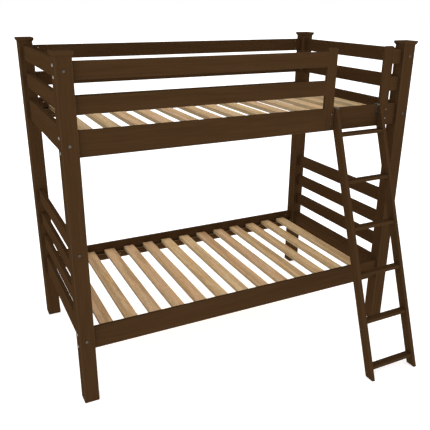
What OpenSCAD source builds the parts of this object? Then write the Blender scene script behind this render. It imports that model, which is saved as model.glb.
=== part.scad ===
// Twin-over-twin wooden bunk bed with a hook-on ladder.
// Millimetres, +Z up, +X along the beds, -Y towards the ladder side.
// The origin is on the floor at the centre of the box around bed and ladder.

/* [Overall] */
// Length over the posts
bed_l = 2007; // [1960:1:2100]
// Width over the posts
bed_w = 1064; // [1000:2:1200]
// Height of a post without its cap
post_h = 1763; // [1700:2:1900]
// Height of the lower side rail's bottom edge
lower_z = 309; // [250:1:360]
// Height of the upper side rail's bottom edge
upper_z = 1318; // [1260:1:1330]

/* [Posts] */
// Side of a square post
post_w = 78; // [70:1:90]
// Chamfer on a post's long edges
post_edge = 2.5; // [1:0.5:5]
// Side of a square cap
cap_w = 92; // [84:1:110]
// Height of a cap
cap_h = 22; // [18:1:30]

/* [Boards] */
// Thickness of the side rails, guards, stiles, ledgers and ladder rails
board_t = 20; // [18:1:24]
// Thickness of the end boards
end_t = 24; // [18:1:26]
// Height of the side rails and of the wide end boards
wide_h = 123; // [110:1:140]
// Height of the narrow guard and end rails
rail_h = 79; // [60:1:82]
// Gap between two rails of the lower ends
rail_gap = 73; // [60:1:90]
// Gap between two rails around the upper bed
guard_gap = 71; // [60:1:76]
// Setback of the side rails and guards from a post's front face
side_inset = 21; // [14:1:24]
// Setback of the end boards from a post's end face
end_inset = 24; // [20:1:28]

/* [Slats] */
// Number of slats on each bunk
slat_count = 13; // [10:1:14]
// Width of a slat
slat_w = 69; // [50:1:90]
// Thickness of a slat
slat_t = 22; // [15:1:28]
// Distance from the left end of the bed to the first slat
slat_x0 = 137.5; // [120:0.5:160]
// Distance from one slat of the lower bed to the next
slat_pitch = 138.5; // [120:0.1:142]
// The same on the upper bed
upper_pitch = 142.4; // [120:0.1:143]
// How far the slat tops lie below the side rail's top edge
slat_drop = 45; // [35:1:50]
// Height of a ledger, which is as thick as a board
ledger_h = 38; // [30:1:45]

/* [Guard opening] */
// Width of a guard stile
stile_w = 60; // [50:1:70]
// Left edge of the left stile, from the left end of the bed
stile_x = 1424; // [1300:1:1460]
// Clear opening between the stiles
opening_w = 328; // [320:1:360]
// How far a stile's foot laps down over the side rail
lap_h = 103; // [80:1:110]
// How far a stile stands above the top guard rail
stile_rise = 18; // [5:1:25]

/* [Ladder] */
// Lean of the ladder from upright, in degrees
ladder_lean = 19.9; // [15:0.5:22]
// Distance from the bed's front to the front of the ladder's feet
ladder_foot = 518; // [480:1:560]
// Depth of a ladder rail, square to its length
ladder_d = 54.5; // [45:0.5:65]
// Width over both ladder rails
ladder_w = 329; // [320:1:340]
// Number of treads
tread_count = 6; // [5:1:7]
// Height of the lowest tread's centre
tread_z = 62; // [50:1:90]
// Rise from one tread to the next
tread_rise = 247.5; // [200:0.5:248]
// Thickness of a tread
tread_t = 18; // [14:1:22]

/* [Hidden] */
$fn = 32;

// Colours
stain = [0.26, 0.19, 0.12];
pine = [0.77, 0.64, 0.47];
steel = [0.62, 0.60, 0.57];

// Levels that follow from the driving sizes
rail_step = rail_h + rail_gap;
guard_step = rail_h + guard_gap;
lower_top = lower_z + wide_h;
upper_top = upper_z + wide_h;
first_low = lower_top + rail_gap;
first_up = upper_top + guard_gap;
guard_top_z = first_up + guard_step;
stile_foot = upper_top - lap_h;
stile_top = guard_top_z + rail_h + stile_rise;
side_mid = side_inset + board_t / 2;
end_mid = end_inset + end_t / 2;
cap_over = (cap_w - post_w) / 2;
stile_right_x = stile_x + stile_w + opening_w;

// Bolts, nuts, dowels and screws
bolt_d = 6;
bolt_hole = 6.4;
bolt_head_d = 15;
bolt_head_h = 4.5;
bolt_rim_h = 1.5;
bolt_crown_d = 8;
bolt_reach = 42;
nut_d = 10;
nut_hole = 10.3;
nut_l = 14;
nut_at = 34;
nut_seat = nut_l / 2 + 0.3;
dowel_d = 8;
dowel_hole = 8.2;
dowel_l = 36;
dowel_in = 20;
cap_dowel_l = 24;
screw_d = 4;
screw_hole = 4.2;
head_d = 8;
head_hole = 8.2;
head_h = 2.5;
head_sink = 2.6;
wide_pair = 34;
narrow_pair = 25;
wide_dowel = 42;
narrow_dowel = 18;
stub_dowel = 12;
stile_dowel = 15;

// Heights of the bolts that run along Y into the ends
end_bolt_z = [
    lower_z + wide_h / 2, first_low + 2 * rail_step + rail_h / 2,
    upper_z + wide_h / 2, guard_top_z + rail_h / 2
];
// Heights of the bolts that run along X into the sides and top guards
side_bolt_z = [
    lower_z + wide_h / 2 - wide_pair, lower_z + wide_h / 2 + wide_pair,
    upper_z + wide_h / 2 - wide_pair, upper_z + wide_h / 2 + wide_pair,
    guard_top_z + rail_h / 2 - narrow_pair, guard_top_z + rail_h / 2 + narrow_pair
];
// Heights of the dowels that run along Y from a post into the ends
end_dowel_z = [
    lower_z + wide_h / 2 - wide_dowel, lower_z + wide_h / 2 + wide_dowel,
    first_low + rail_h / 2 - narrow_dowel, first_low + rail_h / 2 + narrow_dowel,
    first_low + rail_step + rail_h / 2 - narrow_dowel,
    first_low + rail_step + rail_h / 2 + narrow_dowel,
    upper_z + wide_h / 2 - wide_dowel, upper_z + wide_h / 2 + wide_dowel,
    first_up + rail_h / 2 - narrow_dowel, first_up + rail_h / 2 + narrow_dowel
];
// Heights of the dowels that run along X from a post into the lower guards
guard_dowel_z = [first_up + rail_h / 2 - narrow_dowel, first_up + rail_h / 2 + narrow_dowel];

// Slats and ledgers
slat_clear = 2;
slat_y0 = side_inset + board_t + slat_clear;
slat_l = bed_w - 2 * slat_y0;
slat_screw_in = 9;
slat_screw_l = 37;
ledger_screw_l = 34;
ledger_x0 = post_w;
ledger_l = bed_l - 2 * post_w;

// Ladder
ladder_shift = 4.5;
lean = tan(ladder_lean);
ladder_flat = ladder_d / cos(ladder_lean);
ladder_x0 = stile_x + stile_w + (opening_w - ladder_w) / 2 + ladder_shift;
hook_t = 3;
hook_w = 24;
hook_in = 6;
hook_gap = 0.8;
hook_drop = 68;
hook_lip = 40;
hook_bend = 5;
plumb_y = side_inset - hook_gap - hook_t;
ladder_top = upper_top - 7;
housing = 6;
tread_inset = 7;
stile_round = 12;

// The whole model is moved so that its box is centred on the origin
y_shift = -(bed_w + cap_over - ladder_foot) / 2;
module place() {
    translate([-bed_l / 2, y_shift, 0]) children();
}
module at_right() {
    translate([bed_l, 0, 0]) mirror([1, 0, 0]) children();
}
module at_rear() {
    translate([0, bed_w, 0]) mirror([0, 1, 0]) children();
}
module rod_x(d, l) {
    rotate([0, 90, 0]) cylinder(d = d, h = l);
}
module rod_y(d, l) {
    rotate([-90, 0, 0]) cylinder(d = d, h = l);
}

// Posts: square columns with eased edges, drilled for bolts and dowels
module column() {
    e = post_edge;
    w = post_w;
    linear_extrude(post_h)
        polygon([
            [e, 0], [w - e, 0], [w, e], [w, w - e],
            [w - e, w], [e, w], [0, w - e], [0, e]
        ]);
}
module post() {
    color(stain) difference() {
        column();
        for (z = end_bolt_z) translate([end_mid, -1, z]) rod_y(bolt_hole, post_w + 2);
        for (z = side_bolt_z) translate([-1, side_mid, z]) rod_x(bolt_hole, post_w + 2);
        for (z = end_dowel_z)
            translate([end_mid, post_w - dowel_in, z]) rod_y(dowel_hole, dowel_in + 1);
        for (z = guard_dowel_z)
            translate([post_w - dowel_in, side_mid, z]) rod_x(dowel_hole, dowel_in + 1);
        translate([post_w / 2, post_w / 2, post_h - cap_dowel_l / 2])
            cylinder(d = dowel_hole, h = cap_dowel_l);
    }
}

// Caps: flat squares with a sloped underside, held by one dowel
module cap_profile() {
    h = cap_w / 2;
    p = post_w / 2;
    polygon([
        [-p, 0], [p, 0], [h, cap_h * 0.45], [h, cap_h - 2],
        [h - 2, cap_h], [-h + 2, cap_h], [-h, cap_h - 2], [-h, cap_h * 0.45]
    ]);
}
module cap() {
    color(stain) translate([post_w / 2, post_w / 2, post_h]) difference() {
        intersection() {
            rotate([90, 0, 0]) linear_extrude(cap_w, center = true) cap_profile();
            rotate([90, 0, 90]) linear_extrude(cap_w, center = true) cap_profile();
        }
        translate([0, 0, -1]) cylinder(d = dowel_hole, h = cap_dowel_l / 2 + 1);
    }
}

// Bored end of a board that runs along X: bolts with their nuts, and dowels
module bores_x(bolts, dowels) {
    for (z = bolts) {
        translate([-1, 0, z]) rod_x(bolt_hole, bolt_reach + 3);
        translate([nut_at, -nut_seat, z]) rod_y(nut_hole, board_t / 2 + nut_seat + 1);
    }
    for (z = dowels) translate([-1, 0, z]) rod_x(dowel_hole, dowel_l - dowel_in + 1.5);
}
// The same for a board that runs along Y
module bores_y(bolts, dowels) {
    for (z = bolts) {
        translate([0, -1, z]) rod_y(bolt_hole, bolt_reach + 3);
        translate([-nut_seat, nut_at, z]) rod_x(nut_hole, end_t / 2 + nut_seat + 1);
    }
    for (z = dowels) translate([0, -1, z]) rod_y(dowel_hole, dowel_l - dowel_in + 1.5);
}

// Side rails
function pitch_at(z0) = z0 == lower_z ? slat_pitch : upper_pitch;
function ledger_screw_x(i, z0) = slat_x0 + slat_w / 2 + (2 * i + 0.5) * pitch_at(z0);
module side_rail(z0) {
    mid = z0 + wide_h / 2;
    l = bed_l - 2 * post_w;
    pair = [mid - wide_pair, mid + wide_pair];
    screw_z = z0 + wide_h - slat_drop - slat_t - ledger_h / 2;
    color(stain) difference() {
        translate([post_w, side_inset, z0]) cube([l, board_t, wide_h]);
        translate([post_w, side_mid, 0]) bores_x(pair, []);
        at_right() translate([post_w, side_mid, 0]) bores_x(pair, []);
        for (i = [0:5])
            translate([ledger_screw_x(i, z0), side_inset + board_t - 14.5, screw_z])
                rod_y(screw_hole, 16);
        if (z0 == upper_z) children();
    }
}
module stile_laps() {
    for (x = [stile_x, stile_right_x]) {
        translate([x, side_inset - 1, stile_foot]) cube([stile_w, board_t / 2 + 1, lap_h + 1]);
        for (z = stile_screw_z)
            translate([x + stile_screw_x, side_inset, z]) rod_y(screw_hole, 18.5);
    }
}

// Ledgers: strips screwed inside the side rails, which carry the slats
module ledger(z0) {
    top = z0 + wide_h - slat_drop - slat_t;
    color(stain) difference() {
        translate([ledger_x0, side_inset + board_t, top - ledger_h])
            cube([ledger_l, board_t, ledger_h]);
        for (i = [0:5]) translate([ledger_screw_x(i, z0), side_inset + board_t, top - ledger_h / 2]) {
            translate([0, -1, 0]) rod_y(screw_hole, board_t + 2);
            translate([0, board_t - head_sink, 0]) rod_y(head_hole, head_sink + 1);
        }
        for (i = [0:slat_count - 1])
            translate([slat_mid(i, z0), slat_y0 + slat_screw_in, top - 15.5])
                cylinder(d = screw_hole, h = 16);
    }
}

// Slats
function slat_mid(i, z0) = slat_x0 + slat_w / 2 + i * pitch_at(z0);
module slats(z0) {
    z = z0 + wide_h - slat_drop - slat_t;
    color(pine) for (i = [0:slat_count - 1]) difference() {
        translate([slat_mid(i, z0) - slat_w / 2, slat_y0, z]) cube([slat_w, slat_l, slat_t]);
        for (y = [slat_screw_in, slat_l - slat_screw_in])
            translate([slat_mid(i, z0), slat_y0 + y, z]) {
                translate([0, 0, -1]) cylinder(d = screw_hole, h = slat_t + 2);
                translate([0, 0, slat_t - head_sink]) cylinder(d = head_hole, h = head_sink + 1);
            }
    }
}

// Guard rails, from x0 to x1. Each end takes two dowels, half0 or half1 to
// each side of the middle, or where that is 0 two bolts.
module guard(x0, x1, z0, half0, half1) {
    mid = z0 + rail_h / 2;
    bolts = [mid - narrow_pair, mid + narrow_pair];
    color(stain) difference() {
        translate([x0, side_inset, z0]) cube([x1 - x0, board_t, rail_h]);
        translate([x0, side_mid, 0])
            bores_x(half0 == 0 ? bolts : [], half0 == 0 ? [] : [mid - half0, mid + half0]);
        translate([x1, side_mid, 0]) mirror([1, 0, 0])
            bores_x(half1 == 0 ? bolts : [], half1 == 0 ? [] : [mid - half1, mid + half1]);
    }
}

// Guard stiles: round-topped uprights, half-lapped into the side rail
stile_screw_x = 48;
stile_screw_z = [upper_z + 39, upper_z + 90];
stile_screw_l = 17;
module stile_face() {
    r = stile_round;
    h = stile_top - stile_foot;
    difference() {
        square([stile_w, h]);
        translate([0, h - r]) square([r, r]);
        translate([stile_w - r, h - r]) square([r, r]);
    }
    translate([r, h - r]) circle(r);
    translate([stile_w - r, h - r]) circle(r);
}
module stile(x, toward_post) {
    color(stain) difference() {
        translate([x, side_inset + board_t, stile_foot]) rotate([90, 0, 0])
            linear_extrude(board_t) stile_face();
        translate([x - 1, side_inset + board_t / 2, stile_foot - 1])
            cube([stile_w + 2, board_t, lap_h + 1]);
        for (z = [first_up, guard_top_z], s = [-stile_pair(toward_post), stile_pair(toward_post)])
            translate([toward_post ? x + stile_w - stile_dowel : x - 1, side_mid, z + rail_h / 2 + s])
                rod_x(dowel_hole, stile_dowel + 1);
        for (z = stile_screw_z) translate([x + stile_screw_x, side_inset - 1, z])
            rod_y(screw_hole, 12);
        for (z = stile_screw_z) translate([x + stile_screw_x, side_inset - 1, z])
            rod_y(head_hole, 2.5);
    }
}
function stile_pair(toward_post) = toward_post ? stub_dowel : narrow_dowel;

// Boards across the ends
module end_board(z0, h, bolts, dowels) {
    mid = z0 + h / 2;
    l = bed_w - 2 * post_w;
    bolt_z = bolts ? [mid] : [];
    dowel_z = [for (d = dowels) mid + d];
    color(stain) difference() {
        translate([end_inset, post_w, z0]) cube([end_t, l, h]);
        translate([end_mid, post_w, 0]) bores_y(bolt_z, dowel_z);
        at_rear() translate([end_mid, post_w, 0]) bores_y(bolt_z, dowel_z);
    }
}
module lower_board() {
    end_board(lower_z, wide_h, true, [-wide_dowel, wide_dowel]);
}
module upper_board() {
    end_board(upper_z, wide_h, true, [-wide_dowel, wide_dowel]);
}
module lower_end_rail(i) {
    last = i == 3;
    end_board(first_low + (i - 1) * rail_step, rail_h, last, last ? [] : [-narrow_dowel, narrow_dowel]);
}
module upper_end_rail(i) {
    last = i == 2;
    end_board(first_up + (i - 1) * guard_step, rail_h, last, last ? [] : [-narrow_dowel, narrow_dowel]);
}

// Bolts and barrel nuts
module bolt() {
    translate([-bolt_rim_h, 0, 0]) rod_x(bolt_head_d, bolt_rim_h);
    translate([-bolt_head_h, 0, 0]) rotate([0, 90, 0])
        cylinder(d1 = bolt_crown_d, d2 = bolt_head_d, h = bolt_head_h - bolt_rim_h);
    rod_x(bolt_d, post_w + bolt_reach);
}
module barrel_nut() {
    difference() {
        cylinder(d = nut_d, h = nut_l);
        translate([-nut_d, 0, nut_l / 2]) rod_x(bolt_hole, 2 * nut_d);
    }
}
module four_corners() {
    children();
    at_right() children();
    at_rear() children();
    at_right() at_rear() children();
}
module end_bolts() {
    color(steel) four_corners() for (z = end_bolt_z)
        translate([end_mid, 0, z]) rotate([0, 0, 90]) bolt();
}
module end_barrel_nuts() {
    color(steel) four_corners() for (z = end_bolt_z)
        translate([end_mid - nut_l / 2, post_w + nut_at, z]) rotate([0, 90, 0])
            rotate([0, 0, 90]) barrel_nut();
}
module side_bolts() {
    color(steel) four_corners() for (z = side_bolt_z) translate([0, side_mid, z]) bolt();
}
module side_barrel_nuts() {
    color(steel) four_corners() for (z = side_bolt_z)
        translate([post_w + nut_at, side_mid + nut_l / 2, z]) rotate([90, 0, 0]) barrel_nut();
}

// Dowels: ends, lower guards, stiles and caps
module dowels() {
    color(pine) {
        four_corners() {
            for (z = end_dowel_z)
                translate([end_mid, post_w - dowel_in + 0.5, z]) rod_y(dowel_d, dowel_l);
            for (z = guard_dowel_z)
                translate([post_w - dowel_in + 0.5, side_mid, z]) rod_x(dowel_d, dowel_l);
            translate([post_w / 2, post_w / 2, post_h - cap_dowel_l / 2 + 0.5])
                cylinder(d = dowel_d, h = cap_dowel_l - 1);
        }
        for (z = [first_up, guard_top_z]) {
            for (s = [-narrow_dowel, narrow_dowel])
                translate([stile_x - stile_dowel, side_mid, z + rail_h / 2 + s])
                    rod_x(dowel_d, 2 * stile_dowel - 1);
            for (s = [-stub_dowel, stub_dowel])
                translate([stile_right_x + stile_w - stile_dowel + 1, side_mid, z + rail_h / 2 + s])
                    rod_x(dowel_d, 2 * stile_dowel - 1);
        }
    }
}

// Screws
module screw(l) {
    cylinder(d = head_d, h = head_h);
    cylinder(d = screw_d, h = l);
}
module stile_screws() {
    color(steel) for (x = [stile_x, stile_right_x], z = stile_screw_z)
        translate([x + stile_screw_x, side_inset - 1, z]) rotate([-90, 0, 0]) screw(stile_screw_l);
}
module slat_screws() {
    color(steel) for (z0 = [lower_z, upper_z], i = [0:slat_count - 1],
                      y = [slat_screw_in, slat_l - slat_screw_in])
        translate([slat_mid(i, z0), slat_y0 + y, z0 + wide_h - slat_drop]) mirror([0, 0, 1])
            screw(slat_screw_l);
}
module ledger_screws() {
    color(steel) for (z0 = [lower_z, upper_z], i = [0:5]) {
        z = z0 + wide_h - slat_drop - slat_t - ledger_h / 2;
        translate([ledger_screw_x(i, z0), side_inset + 2 * board_t, z]) rotate([90, 0, 0])
            screw(ledger_screw_l);
        at_rear() translate([ledger_screw_x(i, z0), side_inset + 2 * board_t, z]) rotate([90, 0, 0])
            screw(ledger_screw_l);
    }
}

// Ladder rails: leaning boards with level feet, an upright cut where they
// meet the side rail, and housings for the treads
function rail_back(z) = -ladder_foot + ladder_flat + lean * z;
function rail_front(z) = -ladder_foot + lean * z;
function tread_mid(i) = tread_z + i * tread_rise;
plumb_z = (plumb_y + ladder_foot - ladder_flat) / lean;
hook_screw_z = [upper_top - 56, upper_top - 28];
module ladder_side() {
    translate([board_t, 0, 0]) rotate([90, 0, -90]) mirror([1, 0, 0])
        linear_extrude(board_t)
            polygon([
                [rail_front(0), 0], [rail_back(0), 0], [plumb_y, plumb_z],
                [plumb_y, ladder_top], [rail_front(ladder_top), ladder_top]
            ]);
}
module tread_block(x0, x1, i) {
    z = tread_mid(i);
    y0 = rail_front(z) + tread_inset;
    y1 = rail_back(z) - tread_inset;
    translate([x0, y0, z - tread_t / 2]) cube([x1 - x0, y1 - y0, tread_t]);
}
module ladder_rail_left() {
    x1 = ladder_x0 + board_t;
    color(stain) difference() {
        translate([ladder_x0, 0, 0]) ladder_side();
        for (i = [0:tread_count - 1]) tread_block(x1 - housing, x1 + 1, i);
        for (z = hook_screw_z)
            translate([hook_left_x + hook_hole_x, plumb_y - 15.5, z]) rod_y(screw_hole, 17);
    }
}
module ladder_rail_right() {
    x0 = ladder_x0 + ladder_w - board_t;
    color(stain) difference() {
        translate([x0, 0, 0]) ladder_side();
        for (i = [0:tread_count - 1]) tread_block(x0 - 1, x0 + housing, i);
        for (z = hook_screw_z)
            translate([hook_right_x + hook_w - hook_hole_x, plumb_y - 15.5, z])
                rod_y(screw_hole, 17);
    }
}
module ladder_tread(i) {
    color(stain)
        tread_block(ladder_x0 + board_t - housing, ladder_x0 + ladder_w - board_t + housing, i - 1);
}

// Ladder hooks: bent steel straps screwed to the ladder rails, which reach
// over the side rail and down behind it
hook_left_x = ladder_x0 + hook_in;
hook_right_x = ladder_x0 + ladder_w - hook_in - hook_w;
hook_hole_x = 7;
function arc(cx, cy, r, a0, a1) =
    [for (s = [0:6]) [cx + r * cos(a0 + (a1 - a0) * s / 6), cy + r * sin(a0 + (a1 - a0) * s / 6)]];
module hook_outline() {
    y0 = plumb_y;
    y3 = side_inset + board_t + hook_gap + hook_t;
    top = upper_top + hook_gap + hook_t;
    r = hook_bend;
    ri = hook_bend - hook_t;
    polygon(concat(
        [[y0, upper_top - hook_drop]],
        arc(y0 + r, top - r, r, 180, 90),
        arc(y3 - r, top - r, r, 90, 0),
        [[y3, upper_top - hook_lip], [y3 - hook_t, upper_top - hook_lip]],
        arc(y3 - r, top - r, ri, 0, 90),
        arc(y0 + r, top - r, ri, 90, 180),
        [[y0 + hook_t, upper_top - hook_drop]]
    ));
}
module hook(x, hole_x) {
    color(steel) difference() {
        translate([x + hook_w, 0, 0]) rotate([90, 0, -90]) mirror([1, 0, 0])
            linear_extrude(hook_w) hook_outline();
        for (z = hook_screw_z) translate([x + hole_x, 0, z]) {
            translate([0, plumb_y - 1, 0]) rod_y(screw_hole, hook_t + 2);
            translate([0, plumb_y + hook_t - head_sink, 0]) rod_y(head_hole, head_sink + 1);
        }
    }
}
module hook_screws() {
    color(steel) for (z = hook_screw_z,
                      x = [hook_left_x + hook_hole_x, hook_right_x + hook_w - hook_hole_x])
        translate([x, plumb_y + hook_t, z]) rotate([90, 0, 0]) screw(18);
}

place() post();  // post_front_left
place() at_right() post();  // post_front_right
place() at_rear() post();  // post_rear_left
place() at_right() at_rear() post();  // post_rear_right
place() cap();  // cap_front_left
place() at_right() cap();  // cap_front_right
place() at_rear() cap();  // cap_rear_left
place() at_right() at_rear() cap();  // cap_rear_right
place() side_rail(lower_z);  // lower_front_rail
place() at_rear() side_rail(lower_z);  // lower_rear_rail
place() side_rail(upper_z) stile_laps();  // upper_front_rail
place() at_rear() side_rail(upper_z);  // upper_rear_rail
place() ledger(lower_z);  // lower_front_ledger
place() at_rear() ledger(lower_z);  // lower_rear_ledger
place() ledger(upper_z);  // upper_front_ledger
place() at_rear() ledger(upper_z);  // upper_rear_ledger
place() slats(lower_z);  // lower_slats
place() slats(upper_z);  // upper_slats
place() guard(post_w, stile_x, first_up, narrow_dowel, narrow_dowel);  // front_guard_low
place() guard(post_w, stile_x, guard_top_z, 0, narrow_dowel);  // front_guard_top
place() guard(stile_right_x + stile_w, bed_l - post_w, first_up, stub_dowel, narrow_dowel);  // short_guard_low
place() guard(stile_right_x + stile_w, bed_l - post_w, guard_top_z, stub_dowel, 0);  // short_guard_top
place() at_rear() guard(post_w, bed_l - post_w, first_up, narrow_dowel, narrow_dowel);  // rear_guard_low
place() at_rear() guard(post_w, bed_l - post_w, guard_top_z, 0, 0);  // rear_guard_top
place() stile(stile_x, false);  // guard_stile_left
place() stile(stile_right_x, true);  // guard_stile_right
place() lower_board();  // left_lower_board
place() lower_end_rail(1);  // left_lower_rail_1
place() lower_end_rail(2);  // left_lower_rail_2
place() lower_end_rail(3);  // left_lower_rail_3
place() at_right() lower_board();  // right_lower_board
place() at_right() lower_end_rail(1);  // right_lower_rail_1
place() at_right() lower_end_rail(2);  // right_lower_rail_2
place() at_right() lower_end_rail(3);  // right_lower_rail_3
place() upper_board();  // left_upper_board
place() upper_end_rail(1);  // left_upper_rail_1
place() upper_end_rail(2);  // left_upper_rail_2
place() at_right() upper_board();  // right_upper_board
place() at_right() upper_end_rail(1);  // right_upper_rail_1
place() at_right() upper_end_rail(2);  // right_upper_rail_2
place() end_bolts();
place() end_barrel_nuts();
place() side_bolts();
place() side_barrel_nuts();
place() dowels();
place() stile_screws();
place() slat_screws();
place() ledger_screws();
place() ladder_rail_left();
place() ladder_rail_right();
place() ladder_tread(1);  // ladder_tread_1
place() ladder_tread(2);  // ladder_tread_2
place() ladder_tread(3);  // ladder_tread_3
place() ladder_tread(4);  // ladder_tread_4
place() ladder_tread(5);  // ladder_tread_5
place() ladder_tread(6);  // ladder_tread_6
place() hook(hook_left_x, hook_hole_x);  // ladder_hook_left
place() hook(hook_right_x, hook_w - hook_hole_x);  // ladder_hook_right
place() hook_screws();
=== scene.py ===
import math
import random

import bmesh
import bpy
from mathutils import Matrix, Vector


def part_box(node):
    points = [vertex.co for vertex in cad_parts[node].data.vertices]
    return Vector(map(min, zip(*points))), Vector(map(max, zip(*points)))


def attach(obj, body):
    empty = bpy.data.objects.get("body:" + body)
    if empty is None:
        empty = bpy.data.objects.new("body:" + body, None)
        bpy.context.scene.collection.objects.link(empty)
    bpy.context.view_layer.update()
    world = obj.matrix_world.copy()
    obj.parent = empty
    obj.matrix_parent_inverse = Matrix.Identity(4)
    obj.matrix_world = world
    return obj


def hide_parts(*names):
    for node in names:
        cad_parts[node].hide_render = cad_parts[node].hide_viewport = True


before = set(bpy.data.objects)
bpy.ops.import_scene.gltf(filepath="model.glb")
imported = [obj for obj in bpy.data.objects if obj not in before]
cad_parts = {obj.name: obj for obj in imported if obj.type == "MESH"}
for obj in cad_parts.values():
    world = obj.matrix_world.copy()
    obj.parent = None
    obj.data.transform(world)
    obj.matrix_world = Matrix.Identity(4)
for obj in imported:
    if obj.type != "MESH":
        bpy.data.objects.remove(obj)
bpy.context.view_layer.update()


# ---- Posts -------------------------------------------------------------
# Four square posts, each one length of solid wood from the floor to the cap.
# They are planed, their long edges are rounded over, and they are wiped with
# a dark brown stain that leaves only a faint grain.

class Value:
    """A number in a material. Sums of values add their own Math nodes."""

    def __init__(self, finish, socket):
        self.finish = finish
        self.socket = socket

    def math(self, operation, *others):
        inputs = [self, *others]
        return self.finish.node("ShaderNodeMath", {"operation": operation}, inputs)

    def __add__(self, other):
        return self.math("ADD", other)

    def __sub__(self, other):
        return self.math("SUBTRACT", other)

    def __mul__(self, other):
        return self.math("MULTIPLY", other)

    def __pow__(self, other):
        return self.math("POWER", other)

    def __rsub__(self, other):
        return self.finish.node("ShaderNodeMath", {"operation": "SUBTRACT"}, [other, self])

    __radd__ = __add__
    __rmul__ = __mul__


class Finish:
    """A material in the making: a shader, and the nodes that feed it."""

    def __init__(self, name, **constants):
        self.material = bpy.data.materials.new(name)
        self.material.use_nodes = True
        self.tree = self.material.node_tree
        self.shader = self.tree.nodes["Principled BSDF"]
        for socket, value in constants.items():
            self.shader.inputs[socket.replace("_", " ")].default_value = value

    def node(self, kind, settings=None, inputs=(), output=0):
        """Adds a node, sets it up, then gives its sockets their values or links."""
        made = self.tree.nodes.new(kind)
        for key, value in (settings or {}).items():
            setattr(made, key, value)
        pairs = inputs.items() if isinstance(inputs, dict) else enumerate(inputs)
        for key, value in pairs:
            if isinstance(value, Value):
                self.tree.links.new(value.socket, made.inputs[key])
            else:
                made.inputs[key].default_value = value
        return Value(self, made.outputs[output])

    def feed(self, socket, value):
        self.tree.links.new(value.socket, self.shader.inputs[socket])

    def attribute(self, name, output):
        return self.node("ShaderNodeAttribute", {"attribute_name": name}, output=output)

    def stretched(self, place, scale):
        """A position multiplied by a different scale on each axis."""
        return self.node("ShaderNodeVectorMath", {"operation": "MULTIPLY"}, [place, scale])

    def noise(self, place, scale, detail=3.0, roughness=0.55):
        return self.node("ShaderNodeTexNoise", {}, {
            "Vector": self.stretched(place, scale), "Scale": 1.0,
            "Detail": detail, "Roughness": roughness})

    def between(self, value, low, high):
        """0 below low, 1 above high, and smooth in between."""
        return self.node("ShaderNodeMapRange", {"interpolation_type": "SMOOTHSTEP"},
                         [value, low, high, 0.0, 1.0])

    def mixed(self, share, first, second):
        """A colour between two others."""
        made = self.tree.nodes.new("ShaderNodeMix")
        made.data_type = "RGBA"
        for socket, value in ((0, share), (6, first), (7, second)):
            if isinstance(value, Value):
                self.tree.links.new(value.socket, made.inputs[socket])
            elif socket == 0:
                made.inputs[socket].default_value = value
            else:
                made.inputs[socket].default_value = (*value, 1)
        return Value(self, made.outputs[2])

    def bump(self, height, distance, strength=1.0):
        self.feed("Normal", self.node("ShaderNodeBump", {}, {
            "Strength": strength, "Distance": distance, "Height": height}))


# Where a point lies along, across and through its length of wood, in metres
GRAIN = "grain"
# How far a face is paler, from 0 to 1: a little rubbing on most edges, and a painted highlight along the
# ledgers' arrises
WEAR_AND_HIGHLIGHT = "wear_and_highlight"

STAIN_DEEP = (0.028, 0.0135, 0.0054)
STAIN_BASE = (0.045, 0.0225, 0.0092)
STAIN_THIN = (0.060, 0.0308, 0.0130)
# Paler wood for rubbed edges, and the colour of the painted highlight on the ledgers' arrises
RUBBED_AND_HIGHLIGHT = (0.24, 0.17, 0.105)


def stained_wood():
    """Brown stain over close grain: faint streaks, fine pores, and paler edges, a little rubbed on most
    boards and a painted highlight on the ledgers.
    """
    wood = Finish("stained_wood", Specular_IOR_Level=0.0, Roughness=0.6)
    place = wood.attribute(GRAIN, "Vector")
    wear_and_highlight = wood.attribute(WEAR_AND_HIGHLIGHT, "Fac")
    broad = wood.noise(place, (1.6, 22, 22), 2.0)
    streaks = wood.noise(place, (5, 160, 160), 4.0, 0.6)
    pores = wood.noise(place, (60, 1500, 1500), 2.0)
    tint = wood.between(streaks * 0.65 + broad * 0.35, 0.30, 0.70)
    pore_mask = wood.between(pores, 0.60, 0.72)
    colour = wood.mixed(tint, STAIN_BASE, STAIN_THIN)
    colour = wood.mixed(pore_mask * 0.45, colour, STAIN_DEEP)
    colour = wood.mixed(wear_and_highlight, colour, RUBBED_AND_HIGHLIGHT)
    wood.feed("Base Color", colour)
    wood.feed("Roughness", 0.58 + streaks * 0.10 + pore_mask * 0.08 - wear_and_highlight * 0.06)
    wood.bump(streaks * 0.5 - pore_mask * 0.5, 0.00025, 0.5)
    return wood.material


STAINED = stained_wood()

# Each piece starts at its own place in the grain, up to this far along and across
START_ALONG = 40
START_ACROSS = 5
shifts = random.Random(7)


def lay_grain(mesh, along, across):
    """Stores where each point lies along, across and through its length of wood."""
    along = Vector(along).normalized()
    across = Vector(across)
    across = (across - along * across.dot(along)).normalized()
    through = along.cross(across)
    start = Vector(shifts.uniform(-far, far) for far in (START_ALONG, START_ACROSS, START_ACROSS))
    layer = mesh.attributes.new(GRAIN, "FLOAT_VECTOR", "POINT")
    for point, entry in zip(mesh.vertices, layer.data):
        place = Vector((point.co.dot(along), point.co.dot(across), point.co.dot(through)))
        entry.vector = place + start


# Points nearer than this are one point, and faces nearer in angle are one face
WELD = 0.00001
FLAT = math.radians(0.4)
BOARD_EDGE = 0.0018
POST_EDGE = 0.002


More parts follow.
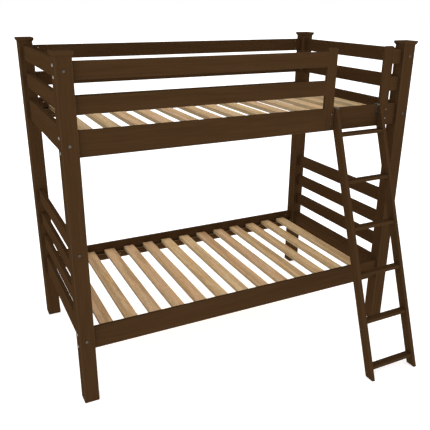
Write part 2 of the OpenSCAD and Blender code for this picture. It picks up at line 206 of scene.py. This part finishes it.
def eased(node, edge, least_angle=25, shortest=0.0016, rounds=2, wear=0.06):
    """The part's own shape, joined up, with its long edges rounded over and made paler by the given
    share: a little rubbing on most parts, a painted highlight on the ledgers.
    """
    form = bmesh.new()
    form.from_mesh(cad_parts[node].data)
    bmesh.ops.remove_doubles(form, verts=form.verts, dist=WELD)
    bmesh.ops.dissolve_limit(form, angle_limit=FLAT, verts=form.verts, edges=form.edges)
    layer = form.faces.layers.float.new(WEAR_AND_HIGHLIGHT)
    arrises = [
        e for e in form.edges
        if len(e.link_faces) == 2
        and e.calc_face_angle() > math.radians(least_angle)
        and e.calc_length() > shortest
    ]
    made = bmesh.ops.bevel(form, geom=arrises, offset=edge, offset_type="OFFSET",
                           segments=rounds, profile=0.5, affect="EDGES", clamp_overlap=True)
    for face in made["faces"]:
        face[layer] = wear
        face.smooth = True
    bmesh.ops.triangulate(form, faces=[f for f in form.faces if len(f.verts) > 4])
    mesh = bpy.data.meshes.new(node + "_eased")
    form.to_mesh(mesh)
    form.free()
    return mesh


def wooden(node, body, along, across, edge=BOARD_EDGE, **details):
    """One length of wood in its place, which stands for its CAD part."""
    mesh = eased(node, edge, **details)
    lay_grain(mesh, along, across)
    mesh.materials.append(STAINED)
    piece = bpy.data.objects.new(node + "_piece", mesh)
    bpy.context.scene.collection.objects.link(piece)
    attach(piece, body)
    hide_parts(node)


X, Y, Z = (1, 0, 0), (0, 1, 0), (0, 0, 1)
CORNERS = ["front_left", "front_right", "rear_left", "rear_right"]
for corner in CORNERS:
    wooden("post_" + corner, "bed", Z, X, POST_EDGE)


# ---- Caps --------------------------------------------------------------
# Each post carries a flat square cap of the same wood, wider than the post,
# with a sloped underside. A dowel holds it.

CAP_EDGE = 0.0012
for corner in CORNERS:
    wooden("cap_" + corner, "bed", X, Y, CAP_EDGE)


# ---- Side rails, guards and ledgers ------------------------------------
# Boards that run along the beds. The side rails and the top guards are bolted
# to the posts, the lower guards are doweled, and the ledgers are screwed to
# the side rails inside.

ALONG_BED = [
    "lower_front_rail", "lower_rear_rail", "upper_front_rail", "upper_rear_rail",
    "front_guard_low", "front_guard_top", "short_guard_low", "short_guard_top",
    "rear_guard_low", "rear_guard_top",
]
for board in ALONG_BED:
    wooden(board, "bed", X, Z)
# The ledgers' arrises are made much paler than the other boards' edges, as a painted highlight
LEDGER_HIGHLIGHT = 0.8
for level in ("lower", "upper"):
    for face in ("front", "rear"):
        wooden(f"{level}_{face}_ledger", "bed", X, Z, wear=LEDGER_HIGHLIGHT)


# ---- End boards --------------------------------------------------------
# At each end a wide board and rails above it join the front post to the rear
# one. They are set back from the posts' faces.

for end in ("left", "right"):
    for level, count in (("lower", 3), ("upper", 2)):
        wooden(f"{end}_{level}_board", "bed", Y, Z)
        for number in range(1, count + 1):
            wooden(f"{end}_{level}_rail_{number}", "bed", Y, Z)


# ---- Guard stiles ------------------------------------------------------
# Two round-topped uprights frame the way in from the ladder. Each is half
# lapped into the upper front side rail and screwed to it.

for side in ("left", "right"):
    wooden("guard_stile_" + side, "bed", Z, X)


# ---- Slats -------------------------------------------------------------
# Bare softwood slats lie across the ledgers of each bed. They are planed,
# left unfinished, and vary in tone from board to board.

# A slat's own tone, from 0 to 1, and its own start in the grain
TONE = "tone"
SHIFT = "shift"
SLAT_PALE = (0.80, 0.60, 0.36)
SLAT_BASE = (0.66, 0.445, 0.225)
SLAT_RING = (0.27, 0.150, 0.058)
SLAT_PINK = (0.66, 0.42, 0.265)
SLAT_GOLD = (0.66, 0.36, 0.105)
SLAT_ASH = (0.42, 0.34, 0.215)
# Painted shade colour for the slats' long side faces
SLAT_SIDE_SHADE = (0.20, 0.165, 0.100)
# How fast the growth rings follow each other, in radians of a wave for each metre
RING_RATE = 190


def bare_wood():
    """Unfinished softwood: curved growth rings cut along the board, fine fibre, a tone per slat, and
    painted shade on the long sides.
    """
    wood = Finish("bare_wood", Specular_IOR_Level=0.05, Roughness=0.65)
    grain = wood.attribute(GRAIN, "Vector")
    shift = wood.attribute(SHIFT, "Vector")
    tone = wood.attribute(TONE, "Fac")
    place = wood.node("ShaderNodeVectorMath", {"operation": "ADD"}, [grain, shift])
    split = wood.node("ShaderNodeSeparateXYZ", {}, [place])
    across = Value(wood, split.socket.node.outputs[1])
    through = Value(wood, split.socket.node.outputs[2])
    drift = wood.noise(place, (1.1, 6, 6), 2.0)
    waver = wood.noise(place, (5, 30, 30), 3.0)
    heart = (across * across + through * through * 1.6) ** 0.5
    rings = (heart * RING_RATE + drift * 9 + waver * 1.6).math("SINE")
    late = wood.between(rings, 0.1, 0.95)
    fibre = wood.noise(place, (14, 700, 700), 3.0)
    patches = wood.noise(place, (2.5, 12, 12), 2.0)
    colour = wood.mixed(patches, SLAT_BASE, SLAT_PALE)
    colour = wood.mixed(wood.between(tone, 0.45, 1.0) * 0.75, colour, SLAT_PINK)
    streaks = wood.noise(place, (9, 260, 260), 4.0, 0.65)
    gold = wood.noise(place, (4, 80, 80), 3.0, 0.6)
    ash = wood.noise(wood.stretched(place, (0.7, 1, -1)), (5, 70, 70), 3.0, 0.6)
    colour = wood.mixed(wood.between(gold, 0.50, 0.68) * 0.60, colour, SLAT_GOLD)
    colour = wood.mixed(wood.between(ash, 0.50, 0.66) * 0.55, colour, SLAT_ASH)
    colour = wood.mixed(late * 0.40, colour, SLAT_RING)
    colour = wood.mixed(wood.between(streaks, 0.48, 0.68) * 0.45, colour, SLAT_RING)
    colour = wood.mixed(wood.between(fibre, 0.5, 0.75) * 0.25, colour, SLAT_RING)
    fleck = wood.noise(place, (34, 120, 120), 2.0, 0.7)
    colour = wood.mixed(wood.between(fleck, 0.53, 0.66) * 0.50, colour, SLAT_GOLD)
    colour = wood.mixed((1 - wood.between(fleck, 0.34, 0.46)) * 0.45, colour, SLAT_PALE)
    # Painted shade: faces whose normal points along the bed, the slats' long sides, are darkened as if
    # shaded by their neighbours
    facing = wood.node("ShaderNodeSeparateXYZ", {}, [wood.node("ShaderNodeTexCoord", output="Normal")])
    side_shade = wood.between(facing.math("ABSOLUTE"), 0.75, 0.95)
    colour = wood.mixed(side_shade * 0.62, colour, SLAT_SIDE_SHADE)
    wood.feed("Base Color", colour)
    wood.feed("Roughness", 0.6 + fibre * 0.14)
    wood.bump(fibre * 0.6 + late * 0.4, 0.0003, 0.5)
    return wood.material


BARE = bare_wood()


class Nodes:
    """A Geometry Nodes tree in the making, with named inputs for its sizes."""

    def __init__(self, name):
        self.tree = bpy.data.node_groups.new(name, "GeometryNodeTree")
        self.entry = self.tree.nodes.new("NodeGroupInput")
        self.values = {}

    def ask(self, name, kind, value=None):
        """A named input, and the value that the modifier gives it."""
        socket = self.tree.interface.new_socket(name, in_out="INPUT", socket_type=kind)
        if value is not None:
            self.values[socket.identifier] = value
        return self.entry.outputs[name]

    def add(self, kind, settings=None, inputs=None):
        made = self.tree.nodes.new(kind)
        for key, value in (settings or {}).items():
            setattr(made, key, value)
        for key, value in (inputs or {}).items():
            if isinstance(value, bpy.types.Node):
                value = value.outputs[0]
            if isinstance(value, bpy.types.NodeSocket):
                self.tree.links.new(value, made.inputs[key])
            else:
                made.inputs[key].default_value = value
        return made

    def end(self, instances, material):
        """Makes the instances real and flat-shaded, gives them their material and ends the tree."""
        shaded = self.add("GeometryNodeSetShadeSmooth", None,
                          {"Geometry": instances, "Shade Smooth": False})
        real = self.add("GeometryNodeRealizeInstances", None, {0: shaded})
        done = self.add("GeometryNodeSetMaterial", None, {"Geometry": real, "Material": material})
        self.tree.interface.new_socket("Geometry", in_out="OUTPUT", socket_type="NodeSocketGeometry")
        leave = self.tree.nodes.new("NodeGroupOutput")
        self.tree.links.new(done.outputs[0], leave.inputs[0])

    def build(self, name, material, points=None):
        """Runs the tree on a mesh of points and keeps the result as a plain mesh."""
        mesh = points or bpy.data.meshes.new(name + "_points")
        carrier = bpy.data.objects.new(name + "_carrier", mesh)
        bpy.context.scene.collection.objects.link(carrier)
        modifier = carrier.modifiers.new("build", "NODES")
        modifier.node_group = self.tree
        for identifier, value in self.values.items():
            modifier[identifier] = value
        bpy.context.view_layer.update()
        shape = carrier.evaluated_get(bpy.context.evaluated_depsgraph_get())
        made = bpy.data.meshes.new_from_object(shape)
        made.name = name
        bpy.data.objects.remove(carrier)
        made.materials.clear()
        made.materials.append(material)
        piece = bpy.data.objects.new(name, made)
        bpy.context.scene.collection.objects.link(piece)
        return piece


SLAT_EDGE = 0.0015
SLAT_W = 0.069
SLAT_COUNT = 13
# The least and the most that a slat's grain is shifted along, across and through
LEAST_SHIFT = (-30.0, -0.05, 0.012)
MOST_SHIFT = (30.0, 0.05, 0.06)


def slat_deck(level, seed):
    """One bed's slats: a bar with chamfered edges, repeated along the bed, with a tone for each."""
    low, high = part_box(level + "_slats")
    pitch = (high.x - low.x - SLAT_W) / (SLAT_COUNT - 1)
    deck = Nodes(level + "_slat_deck")
    deck.ask("Geometry", "NodeSocketGeometry")
    count = deck.ask("Count", "NodeSocketInt", SLAT_COUNT)
    width = deck.ask("Width", "NodeSocketFloat", SLAT_W)
    depth = deck.ask("Thickness", "NodeSocketFloat", high.z - low.z)
    edge = deck.ask("Edge", "NodeSocketFloat", SLAT_EDGE)
    length = deck.ask("Length", "NodeSocketFloat", high.y - low.y)
    first = (low.x + SLAT_W / 2, low.y, (low.z + high.z) / 2)
    start = deck.ask("Start", "NodeSocketVector", first)
    step = deck.ask("Step", "NodeSocketVector", (pitch, 0, 0))
    seed_in = deck.ask("Seed", "NodeSocketInt", seed)
    material = deck.ask("Material", "NodeSocketMaterial", BARE)
    outline = deck.add("GeometryNodeCurvePrimitiveQuadrilateral", None,
                       {"Width": width, "Height": depth})
    chamfered = deck.add("GeometryNodeFilletCurve", {"mode": "POLY"},
                         {"Curve": outline, "Radius": edge})
    reach = deck.add("ShaderNodeCombineXYZ", None, {"Y": length})
    path = deck.add("GeometryNodeCurvePrimitiveLine", None, {"End": reach})
    bar = deck.add("GeometryNodeCurveToMesh", None,
                   {"Curve": path, "Profile Curve": chamfered, "Fill Caps": True})
    where = deck.add("GeometryNodeInputPosition")
    turned = deck.add("ShaderNodeSeparateXYZ", None, {0: where})
    grain = deck.add("ShaderNodeCombineXYZ")
    for target, source in (("X", "Y"), ("Y", "X"), ("Z", "Z")):
        deck.tree.links.new(turned.outputs[source], grain.inputs[target])
    marked = deck.add("GeometryNodeStoreNamedAttribute",
                      {"data_type": "FLOAT_VECTOR", "domain": "POINT"},
                      {"Geometry": bar, "Name": GRAIN, "Value": grain})
    row = deck.add("GeometryNodeMeshLine", None,
                   {"Count": count, "Start Location": start, "Offset": step})
    slats = deck.add("GeometryNodeInstanceOnPoints", None, {"Points": row, "Instance": marked})
    tones = deck.add("FunctionNodeRandomValue", {"data_type": "FLOAT"}, {"Seed": seed_in})
    toned = deck.add("GeometryNodeStoreNamedAttribute",
                     {"data_type": "FLOAT", "domain": "INSTANCE"},
                     {"Geometry": slats, "Name": TONE, "Value": tones.outputs[1]})
    starts = deck.add("FunctionNodeRandomValue", {"data_type": "FLOAT_VECTOR"}, {
        "Min": LEAST_SHIFT, "Max": MOST_SHIFT, "Seed": seed_in})
    shifted = deck.add("GeometryNodeStoreNamedAttribute",
                       {"data_type": "FLOAT_VECTOR", "domain": "INSTANCE"},
                       {"Geometry": toned, "Name": SHIFT, "Value": starts.outputs[0]})
    deck.end(shifted, material)
    piece = deck.build(level + "_slat_boards", BARE)
    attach(piece, "bed")
    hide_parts(level + "_slats")


slat_deck("lower", seed=3)
slat_deck("upper", seed=11)


# ---- Ladder ------------------------------------------------------------
# A leaning ladder of the same stained wood. Its two rails are boards on edge,
# sawn level at the feet, and six treads are housed in them.

# The level cut at a rail's foot, and the share of its height below the plumb cut
FOOT_CUT = 0.058
SLOPED_SHARE = 0.92
# The housings' arrises are shorter than this, and stay sharp
HOUSING_ARRIS = 0.019
TREAD_EDGE = 0.0025
TREADS = 6
rail_low, rail_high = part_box("ladder_rail_left")
ladder_line = Vector((0, rail_high.y - rail_low.y - FOOT_CUT, rail_high.z * SLOPED_SHARE))
for side in ("left", "right"):
    wooden("ladder_rail_" + side, "ladder", ladder_line, Y, shortest=HOUSING_ARRIS)
for number in range(1, TREADS + 1):
    wooden(f"ladder_tread_{number}", "ladder", X, Y, TREAD_EDGE)


# ---- Ladder hooks ------------------------------------------------------
# Two bent straps of flat steel with a dark grey finish. Each is screwed to a
# ladder rail and reaches over the upper front side rail.

ZINC_PALE = (0.30, 0.28, 0.245)
ZINC_GREY = (0.20, 0.18, 0.15)
DARK_PALE = (0.150, 0.133, 0.108)
DARK_GREY = (0.080, 0.070, 0.056)


def metal(name, pale, grey):
    """Finished steel: a soft grey, with rolling marks and a few dull patches."""
    steel = Finish(name, Metallic=1.0, Roughness=0.5)
    place = steel.node("ShaderNodeTexCoord", output="Object")
    marks = steel.noise(place, (900, 900, 60), 3.0)
    patches = steel.noise(place, (55, 55, 55), 3.0)
    steel.feed("Base Color", steel.mixed(steel.between(patches, 0.35, 0.7), grey, pale))
    steel.feed("Roughness", 0.42 + marks * 0.14 + patches * 0.08)
    steel.bump(marks, 0.00006, 0.6)
    return steel.material


HOOK_EDGE = 0.0004
ZINC = metal("zinc_steel", ZINC_PALE, ZINC_GREY)
DARK = metal("dark_steel", DARK_PALE, DARK_GREY)
for side in ("left", "right"):
    node = "ladder_hook_" + side
    strap = eased(node, HOOK_EDGE, least_angle=40, shortest=HOOK_EDGE, rounds=1)
    strap.materials.append(DARK)
    hook = bpy.data.objects.new(node + "_piece", strap)
    bpy.context.scene.collection.objects.link(hook)
    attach(hook, "ladder")
    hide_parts(node)


# ---- Bolts and screws --------------------------------------------------
# Round-headed bolts with a hexagon socket pull the boards against the posts.
# Small countersunk screws with a crosshead hold the slats, ledgers, stiles
# and hooks. Each faces the way that it was driven from.

TURN = 2 * math.pi
SIDES = 24
BOLT_HEAD = 0.0075
BOLT_RISE = 0.0045
BOLT_SHANK = 0.003
SCREW_HEAD = 0.004
SCREW_SHANK = 0.002
# Half the width of a crosshead's arm, for arms one long
ARM = 0.26


def plain(angle):
    """The reach of a circle, the same on every side."""
    return 1.0


def hexagon(angle):
    """The reach of a hexagon, whose flats are one away from its middle."""
    return 1 / math.cos((angle + TURN / 12) % (TURN / 6) - TURN / 12)


def crosshead(angle):
    """The reach of a cross with arms one long."""
    reach = (abs(math.cos(angle)), abs(math.sin(angle)))
    return max(min(1 / max(a, 0.001), ARM / max(b, 0.001)) for a, b in (reach, reach[::-1]))


def turned_form(name, rings):
    """A closed form of rings from its point to the floor of its socket: radius, height, outline."""
    form = bmesh.new()
    angles = [TURN * side / SIDES for side in range(SIDES)]
    loops = []
    for radius, height, outline in rings:
        reaches = [radius * outline(a) for a in angles]
        loops.append([
            form.verts.new((reach * math.cos(a), reach * math.sin(a), height))
            for reach, a in zip(reaches, angles)
        ])
    for below, above in zip(loops, loops[1:]):
        for side in range(SIDES):
            after = (side + 1) % SIDES
            form.faces.new((below[side], below[after], above[after], above[side]))
    form.faces.new(loops[0][::-1])
    form.faces.new(loops[-1])
    bmesh.ops.recalc_face_normals(form, faces=form.faces)
    mesh = bpy.data.meshes.new(name)
    form.to_mesh(mesh)
    form.free()
    return bpy.data.objects.new(name, mesh)


def bolt_form(length):
    """A bolt with a domed head. Its top is at 0 and its point is length below."""
    head, rise = BOLT_HEAD, BOLT_RISE
    return turned_form("bolt_form", [
        (0.0022, -length, plain), (BOLT_SHANK, -length + 0.001, plain), (BOLT_SHANK, -rise, plain),
        (head * 0.96, -rise, plain), (head, -rise + 0.0003, plain), (head, -rise + 0.0014, plain),
        (head * 0.93, -rise * 0.42, plain), (head * 0.75, -rise * 0.16, plain),
        (head * 0.50, 0, plain), (0.0020, 0, hexagon), (0.0018, -rise * 0.65, hexagon),
    ])


def screw_form(length):
    """A countersunk screw. Its top is at 0 and its point is length below."""
    head = SCREW_HEAD
    return turned_form("screw_form", [
        (0.0003, -length, plain), (0.0019, -length + 0.005, plain), (SCREW_SHANK, -0.0026, plain),
        (head * 0.97, -0.0006, plain), (head, -0.0003, plain), (head * 0.96, 0, plain),
        (head * 0.62, 0, crosshead), (head * 0.45, -0.0014, crosshead),
    ])


def solids_of(node):
    """The box of each separate solid in a CAD node."""
    form = bmesh.new()
    form.from_mesh(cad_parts[node].data)
    bmesh.ops.remove_doubles(form, verts=form.verts, dist=WELD)
    waiting = set(form.verts)
    boxes = []
    while waiting:
        to_follow = [waiting.pop()]
        found = list(to_follow)
        while to_follow:
            vert = to_follow.pop()
            for near in (e.other_vert(vert) for e in vert.link_edges):
                if near in waiting:
                    waiting.discard(near)
                    to_follow.append(near)
                    found.append(near)
        low = Vector(min(v.co[i] for v in found) for i in range(3))
        high = Vector(max(v.co[i] for v in found) for i in range(3))
        boxes.append((low, high))
    form.free()
    return sorted(boxes, key=lambda box: tuple(round(c, 4) for c in box[0]))


# The way that a fastener's head faces
FACING = "facing"


def fasteners(node, body, axis, heads, make_form, material, seed):
    """Every bolt or screw of a node. heads gives the side its head is on: 1, -1, or out or in."""
    boxes = solids_of(node)
    middle = sum(((low + high) / 2 for low, high in boxes), Vector()) / len(boxes)
    places, ways = [], []
    for low, high in boxes:
        centre = (low + high) / 2
        outward = 1 if centre[axis] > middle[axis] else -1
        way = {"out": outward, "in": -outward}.get(heads, heads)
        centre[axis] = high[axis] if way > 0 else low[axis]
        places.append(centre)
        ways.append(Vector(way if i == axis else 0 for i in range(3)))
    points = bpy.data.meshes.new(node + "_places")
    points.from_pydata(places, [], [])
    facing = points.attributes.new(FACING, "FLOAT_VECTOR", "POINT")
    for entry, way in zip(facing.data, ways):
        entry.vector = way
    low, high = boxes[0]
    form = make_form(high[axis] - low[axis])
    made = Nodes(node + "_fasteners")
    seats = made.ask("Geometry", "NodeSocketGeometry")
    shape = made.ask("Form", "NodeSocketObject", form)
    seed_in = made.ask("Seed", "NodeSocketInt", seed)
    most = made.ask("Most turn", "NodeSocketFloat", TURN)
    finish = made.ask("Material", "NodeSocketMaterial", material)
    read = made.add("GeometryNodeInputNamedAttribute", {"data_type": "FLOAT_VECTOR"}, {"Name": FACING})
    aimed = made.add("FunctionNodeAlignRotationToVector", {"axis": "Z"}, {"Vector": read})
    angle = made.add("FunctionNodeRandomValue", {"data_type": "FLOAT"}, {"Seed": seed_in})
    made.tree.links.new(most, angle.inputs[3])
    spin = made.add("FunctionNodeAxisAngleToRotation", None,
                    {"Axis": (0, 0, 1), "Angle": angle.outputs[1]})
    turned = made.add("FunctionNodeRotateRotation", {"rotation_space": "LOCAL"},
                      {"Rotation": aimed, "Rotate By": spin})
    source = made.add("GeometryNodeObjectInfo", None, {"Object": shape})
    placed = made.add("GeometryNodeInstanceOnPoints", None, {
        "Points": seats, "Instance": source.outputs["Geometry"], "Rotation": turned})
    made.end(placed, finish)
    piece = made.build(node + "_set", material, points)
    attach(piece, body)
    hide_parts(node)


# The end bolts are the same steel as the side bolts; they take the dark steel as painted shade, so heads
# facing front and back read darker
fasteners("end_bolts", "bed", 1, "out", bolt_form, DARK, 1)
fasteners("side_bolts", "bed", 0, "out", bolt_form, ZINC, 2)
for node, body, axis, heads, seed in (
        ("stile_screws", "bed", 1, -1, 3), ("slat_screws", "bed", 2, 1, 4),
        ("ledger_screws", "bed", 1, "in", 5), ("hook_screws", "ladder", 1, 1, 6)):
    fasteners(node, body, axis, heads, screw_form, ZINC, seed)


# ---- Barrel nuts and dowels --------------------------------------------
# Steel barrel nuts lie in the board ends, where the bolts screw into them.
# Beech dowels hold the caps, the stiles and the board ends without a bolt, and
# steady the wide end boards. Both stay inside the wood.

def dowel_wood():
    """Turned beech, pale with short darker flecks."""
    beech = Finish("dowel_wood", Specular_IOR_Level=0.05, Roughness=0.6)
    place = beech.node("ShaderNodeTexCoord", output="Object")
    fleck = beech.between(beech.noise(place, (180, 180, 180), 2.0), 0.50, 0.66)
    beech.feed("Base Color", beech.mixed(fleck * 0.5, SLAT_PALE, SLAT_RING))
    beech.feed("Roughness", 0.55 + fleck * 0.15)
    return beech.material


BEECH = dowel_wood()

for node, finish in (("end_barrel_nuts", ZINC), ("side_barrel_nuts", ZINC), ("dowels", BEECH)):
    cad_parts[node].data.materials.clear()
    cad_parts[node].data.materials.append(finish)


# ---- Studio ------------------------------------------------------------
# A pale floor without an edge in sight, a bright even sky, and one broad
# soft lamp at the front left.

FLOOR_HALF = 60.0
floor_form = bmesh.new()
bmesh.ops.create_grid(floor_form, x_segments=4, y_segments=4, size=FLOOR_HALF)
floor_mesh = bpy.data.meshes.new("floor")
floor_form.to_mesh(floor_mesh)
floor_form.free()
floor = bpy.data.objects.new("floor", floor_mesh)
bpy.context.scene.collection.objects.link(floor)
pale = Finish("pale_floor", Roughness=0.9, Specular_IOR_Level=0.0,
              Emission_Color=(1, 1, 1, 1), Emission_Strength=0.55)
ground = pale.node("ShaderNodeTexCoord", output="Object")
pale.feed("Base Color", pale.mixed(pale.noise(ground, (3, 3, 3)), (0.93, 0.93, 0.93), (0.95, 0.95, 0.95)))
floor_mesh.materials.append(pale.material)

sky = bpy.data.worlds.new("studio")
sky.use_nodes = True
sky.node_tree.nodes["Background"].inputs["Color"].default_value = (1, 1, 1, 1)
sky.node_tree.nodes["Background"].inputs["Strength"].default_value = 1.0
bpy.context.scene.world = sky

LAMP_PLACE = (-4.5, -3.5, 4.0)
LAMP_AIM = Vector((0, 0, 0.9))
LAMP_WATTS = 18
lamp_data = bpy.data.lights.new("key", "AREA")
lamp_data.shape = "DISK"
lamp_data.size = 4.0
lamp_data.energy = LAMP_WATTS
lamp = bpy.data.objects.new("key", lamp_data)
lamp.location = LAMP_PLACE
lamp.rotation_euler = (LAMP_AIM - lamp.location).to_track_quat("-Z", "Y").to_euler()
bpy.context.scene.collection.objects.link(lamp)

CAMERA_PLACE = (-1.4568, -2.6956, 1.9776)
YAW, PITCH, ROLL = (math.radians(a) for a in (26.49, 20.98, 0.49))
camera_data = bpy.data.cameras.new("camera")
camera_data.sensor_width = 36.0
camera_data.lens = 46.43
camera = bpy.data.objects.new("camera", camera_data)
swung = Matrix.Rotation(-YAW, 4, "Z")
tipped = Matrix.Rotation(math.pi / 2 - PITCH, 4, "X")
rolled = Matrix.Rotation(ROLL, 4, "Z")
camera.matrix_world = Matrix.Translation(CAMERA_PLACE) @ swung @ tipped @ rolled
bpy.context.scene.collection.objects.link(camera)
bpy.context.scene.camera = camera
bpy.context.scene.view_settings.view_transform = "Standard"
